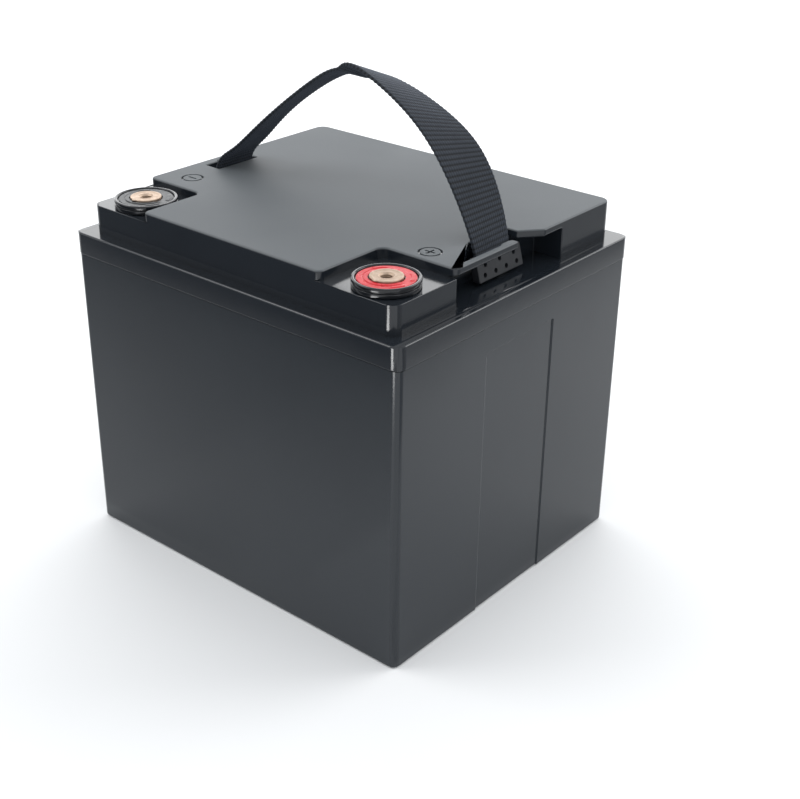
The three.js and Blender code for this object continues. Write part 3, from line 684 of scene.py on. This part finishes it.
def plate_relief(r, z, angle):
    """A raised inner ring round the front of the plate, and three low pads on its outer ring."""
    if z < 0.3:
        return r, z
    turn = math.degrees(angle)
    ring = pulse(r, *RING_SPAN, 0.35) * pulse(turn, *RING_TURN, 6)
    groove = pulse(r, *GROOVE_SPAN, 0.3) * pulse(turn, *GROOVE_TURN, 6)
    pads = sum(pulse(turn, *span, 4) for span in PAD_TURNS) * pulse(r, *PAD_SPAN, 0.4)
    return r, z + RELIEF * (ring + pads) - GROOVE_DEPTH * groove


def insert_relief(r, z, angle):
    """A screw thread of 1 mm pitch down the bore, and a small locating key on the rim."""
    if r < THREAD_REACH and z < THREAD_TOP:
        flank = abs(2 * ((z - angle / (2 * math.pi)) % 1) - 1)
        return r - THREAD_DEPTH * flank, z
    if r > 6.3:
        r += KEY_HEIGHT * pulse(math.degrees(angle), *KEY_TURN, 7) * pulse(z, *KEY_SPAN, 0.1)
    return r, z


def build_terminal(side, plate_material, collar, brass):
    axis = middle(side + "_polarity_plate")
    turned_piece(side + "_terminal_collar", side + "_collar_ring", filleted(COLLAR), collar,
                 axis)
    turned_piece(side + "_polarity_plate", side + "_plate", divided(filleted(PLATE), PLATE_STEP),
                 plate_material, axis, plate_relief, PLATE_SIDES)
    turned_piece(side + "_terminal_insert", side + "_brass_insert",
                 divided(filleted(INSERT), INSERT_STEP), brass, axis,
                 insert_relief)


# ---------------------------------------------------------------- carry strap

# The strap's middle line, from one end tab over the lid to the other, and the places along it.
STRAP_LINE = [
    (-79.5, 1, 164.6), (-77.9, 1, 170), (-76.8, 1, 172.5), (-66, 0.6, 182.2), (-44.5, 0.8, 201.3),
    (-13.6, 2, 223), (-0.5, 1.3, 226.4), (13, 0.4, 228.6), (43.5, 0.6, 216), (66.4, -1.2, 196),
    (78.5, -1, 170), (79.6, -0.5, 164.6),
]
STRAP_PLACES = [-0.03, 0, 0.02, 0.125, 0.25, 0.375, 0.5, 0.625, 0.75, 0.875, 1, 1.03]
# How the strap is turned, in degrees, at some places along it: its yaw, then its tilt.
STRAP_YAW = [(-0.03, 0), (0, -1), (0.25, -7.5), (0.5, -5), (0.75, 22), (1, 1.5), (1.03, 0)]
STRAP_TILT = [(-0.03, 0), (0, -1), (0.25, 3.5), (0.5, -20), (0.75, -12.5), (1, 2), (1.03, 0)]
# The webbing, in millimetres: its width and bare thickness, how far its ribs stand above and
# below that, how far they stand out at the edges, and the radius of the edges.
STRAP_WIDTH, STRAP_CORE = 24, 1.15
TOP_WEAVE, UNDER_WEAVE, SIDE_WEAVE = 0.42, 0.25, 0.2
STRAP_EDGE = 0.9
RIB_SHAPE, BEAD_DEPTH = 0.9, 0.3
# Its mesh: the step along it, and the columns across it, which crowd towards the edges.
ROW_STEP, COLUMNS, CROWDING = 0.38, 81, 0.62

def spline(keys, values, at):
    """A natural cubic spline through the values at the keys, read at other places."""
    x, y = np.array(keys, float), np.array(values, float)
    step = np.diff(x)
    slope = np.diff(y) / step
    grid = np.eye(len(x))
    pull = np.zeros(len(x))
    for i in range(1, len(x) - 1):
        grid[i, i - 1:i + 2] = step[i - 1], 2 * (step[i - 1] + step[i]), step[i]
        pull[i] = 6 * (slope[i] - slope[i - 1])
    bend = np.linalg.solve(grid, pull)
    i = np.clip(np.searchsorted(x, at) - 1, 0, len(x) - 2)
    near_end, far_end = at - x[i], x[i + 1] - at
    curve = (bend[i] * far_end ** 3 + bend[i + 1] * near_end ** 3) / (6 * step[i])
    near_share = (y[i + 1] / step[i] - bend[i + 1] * step[i] / 6) * near_end
    far_share = (y[i] / step[i] - bend[i] * step[i] / 6) * far_end
    return curve + near_share + far_share


def strap_line(places):
    """Points of the strap's middle line at those places."""
    return np.array([spline(STRAP_PLACES, values, places) for values in zip(*STRAP_LINE)]).T


def strap_places(spacing):
    """Places along the strap, that many millimetres apart, and the distance to each."""
    fine = np.linspace(STRAP_PLACES[0], STRAP_PLACES[-1], 4000)
    steps = np.linalg.norm(np.diff(strap_line(fine), axis=0), axis=1)
    gone = np.concatenate([[0], np.cumsum(steps)])
    along = np.linspace(0, gone[-1], round(gone[-1] / spacing) + 1)
    return np.interp(along, gone, fine), along


def unit(vectors):
    return vectors / np.linalg.norm(vectors, axis=-1, keepdims=True)


def strap_columns():
    """Columns across the strap, from -1 to 1, closer together towards its edges."""
    even = np.linspace(-1, 1, COLUMNS)
    reach = math.pi / 2 * CROWDING
    return (np.sin(even * reach) / math.sin(reach) + even) / 2


def woven_loops(places, along, across):
    """The strap's cross-sections: over the top from edge to edge, and back underneath."""
    line = strap_line(places)
    yaw, tilt = (np.radians(spline(*zip(*keys), places)) for keys in (STRAP_YAW, STRAP_TILT))
    wide = np.array([np.sin(yaw) * np.cos(tilt), np.cos(yaw) * np.cos(tilt), np.sin(tilt)]).T
    out = unit(np.cross(unit(np.gradient(line, axis=0)), -wide))

    crest = np.abs(np.sin(np.pi * along / RIB_PITCH)) ** RIB_SHAPE
    past_edge = (np.abs(across) - 1) * STRAP_WIDTH / 2 / STRAP_EDGE + 1
    edge = np.sqrt(np.clip(1 - np.clip(past_edge, 0, 1) ** 2, 0, 1))
    half = STRAP_WIDTH / 2 - SIDE_WEAVE + SIDE_WEAVE * crest
    bead = np.cos(2 * np.pi * across[None, :] * STRAP_WIDTH / 2 / BEAD_PITCH)
    weave = crest[:, None] * (1 - BEAD_DEPTH + BEAD_DEPTH * bead)
    core = line[:, None, :] + wide[:, None, :] * (half[:, None] * across[None, :])[:, :, None]
    over = ((STRAP_CORE / 2 + TOP_WEAVE * weave) * edge)[:, :, None]
    below = ((STRAP_CORE / 2 + UNDER_WEAVE * weave) * edge)[:, :, None]
    top, under = core + out[:, None, :] * over, core - out[:, None, :] * below
    return np.concatenate([top, under[:, -2:0:-1]], axis=1)


def tube_faces(rows, ring):
    """Faces between rows of ring points each, and one over each end."""
    faces = []
    for i in range(rows - 1):
        for j in range(ring):
            k = (j + 1) % ring
            faces.append((i * ring + j, i * ring + k, (i + 1) * ring + k, (i + 1) * ring + j))
    faces.append(tuple(range(ring))[::-1])
    faces.append(tuple((rows - 1) * ring + j for j in range(ring)))
    return faces


def add_weave_uv(mesh, along, across):
    """UV in metres: U along the strap and V across it, the same above and below."""
    widths = np.concatenate([across, across[-2:0:-1]]) * STRAP_WIDTH / 2 * MM
    ring = len(widths)
    vertex = np.zeros(len(mesh.loops), int)
    mesh.loops.foreach_get("vertex_index", vertex)
    coordinates = np.stack([along[vertex // ring] * MM, widths[vertex % ring]], axis=1)
    uv = mesh.uv_layers.new(name="weave")
    uv.data.foreach_set("uv", coordinates.astype(np.float32).ravel())


def build_strap(finish):
    places, along = strap_places(ROW_STEP)
    across = strap_columns()
    loops = woven_loops(places, along, across)
    mesh = bpy.data.meshes.new("webbing_strap")
    points = (loops.reshape(-1, 3) * MM).tolist()
    mesh.from_pydata(points, [], tube_faces(*loops.shape[:2]))
    mesh.shade_smooth()
    add_weave_uv(mesh, along, across)
    replaced = ["carry_strap", "strap_root_left", "strap_root_right"]
    strap = shown("webbing_strap", mesh, finish, replaced, body=None)
    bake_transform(strap)


# A tab's own faces are larger than this, in square metres, and its edges longer, in millimetres.
TAB_FACE, TAB_EDGE = 20e-6, 3
TAB_ROUND = 0.45


def tab_radius(edge):
    """Pin holes keep crisp rims, and the tab's own edges are rounded."""
    largest = max(abs(face.calc_area()) for face in edge.link_faces)
    return TAB_ROUND if largest > TAB_FACE and edge.calc_length() > TAB_EDGE * MM else 0


# ---------------------------------------------------------------- inside the case

def softened(nodes, finish, radius):
    """Stands for inner nodes with all their sharp edges slightly rounded."""
    for node in nodes:
        rounded_piece(node, node + "_fine", finish, lambda edge: radius, segments=2)


def round_tubes(nodes, finish):
    """Stands for cables and leads, with their flat sides drawn round."""
    for node in nodes:
        bm = whole_faces(node)
        for face in bm.faces:
            face.smooth = True
        mesh = bpy.data.meshes.new(node + "_fine")
        bm.to_mesh(mesh)
        bm.free()
        piece = shown(node + "_fine", mesh, finish, [node])
        rounding = piece.modifiers.new("round_section", "SUBSURF")
        rounding.levels = rounding.render_levels = 1


def numbered(pattern, numbers):
    return [pattern.format(n) for n in numbers]


def build_inside():
    steel = plated_finish("plated_steel", (0.62, 0.61, 0.58), (0.42, 0.41, 0.39), 0.3, (1, 1, 1))
    band = plated_finish("band_steel", (0.6, 0.6, 0.6), (0.45, 0.45, 0.46), 0.32, (0.1, 0.1, 3))
    tinned = plated_finish("tinned_copper", (0.66, 0.64, 0.6), (0.5, 0.47, 0.42), 0.34, (1, 1, 1))
    copper = plated_finish("busbar_copper", (0.78, 0.4, 0.24), (0.5, 0.24, 0.15), 0.3, (3, 0.3, 1))
    brass = plated_finish("nut_brass", (0.62, 0.47, 0.26), (0.45, 0.33, 0.18), 0.36, (1, 1, 1))
    sink = plated_finish("heat_sink", (0.62, 0.63, 0.65), (0.48, 0.49, 0.5), 0.36, (0.15, 3, 1))
    epoxy, foam = epoxy_sheet_finish(), foam_finish()
    sealant = rubbery_finish("sealant", (0.006, 0.006, 0.007), (0.016, 0.016, 0.018))
    softened(numbered("cell_{}", range(1, 5)), film_finish(), 0.3)
    softened(numbered("cell_separator_{}", range(1, 4)), epoxy, 0.05)
    softened(["end_plate_left", "end_plate_right", "insulation_sheet"], epoxy, 0.3)
    softened(["stack_band_lower", "stack_band_upper"], band, 0.12)
    softened(["base_foam_pad", "foam_block_left", "foam_block_right", "foam_sheet_front",
              "foam_sheet_rear"], foam, 0.5)
    softened(["busbar_1_2", "busbar_2_3", "busbar_3_4"], copper, 0.25)
    for end in ("front", "rear"):
        softened(numbered("cell_{}_nut_" + end, range(1, 5)), steel, 0.15)
    softened(["protection_board"], board_finish(), 0.12)
    softened(["board_heat_sink"], sink, 0.2)
    softened(["lid_sealant_bead"], sealant, 0.3)
    for side in ("positive", "negative"):
        softened([side + "_terminal_nut"], brass, 0.3)
        softened([side + "_lug_bolt"], steel, 0.2)
        softened([side + "_terminal_lug", side + "_cell_lug"], tinned, 0.2)
    red = rubbery_finish("red_insulation", (0.42, 0.015, 0.02), (0.5, 0.05, 0.05), 0.45)
    black = rubbery_finish("black_insulation", (0.008, 0.008, 0.009), (0.025, 0.025, 0.027), 0.45)
    white = rubbery_finish("white_insulation", (0.62, 0.62, 0.6), (0.74, 0.74, 0.72), 0.45)
    round_tubes(["positive_cable"], red)
    round_tubes(["cell_negative_cable", "terminal_negative_cable"], black)
    round_tubes(numbered("sense_lead_{}", range(1, 6)), white)


# ---------------------------------------------------------------- the whole pack

make_camera()
make_studio()
rounded_piece("case", "case_shell", case_finish(), case_radius)
rounded_piece("lid", "lid_shell", lid_finish(), lid_radius, segments=4,
              cuts=LID_CUTS)
collar_black, brass = collar_finish(), brass_finish()
red_plate = plate_finish("red_plate", (0.50, 0.010, 0.018), (0.60, 0.020, 0.030))
black_plate = plate_finish("black_plate", (0.010, 0.012, 0.015), (0.016, 0.019, 0.023))
build_terminal("positive", red_plate, collar_black, brass)
build_terminal("negative", black_plate, collar_black, brass)
build_strap(webbing_finish())
tab_plastic = tab_finish()
for side in ("left", "right"):
    rounded_piece("strap_end_tab_" + side, "end_tab_" + side, tab_plastic,
                  tab_radius, body="strap_ends")
build_inside()
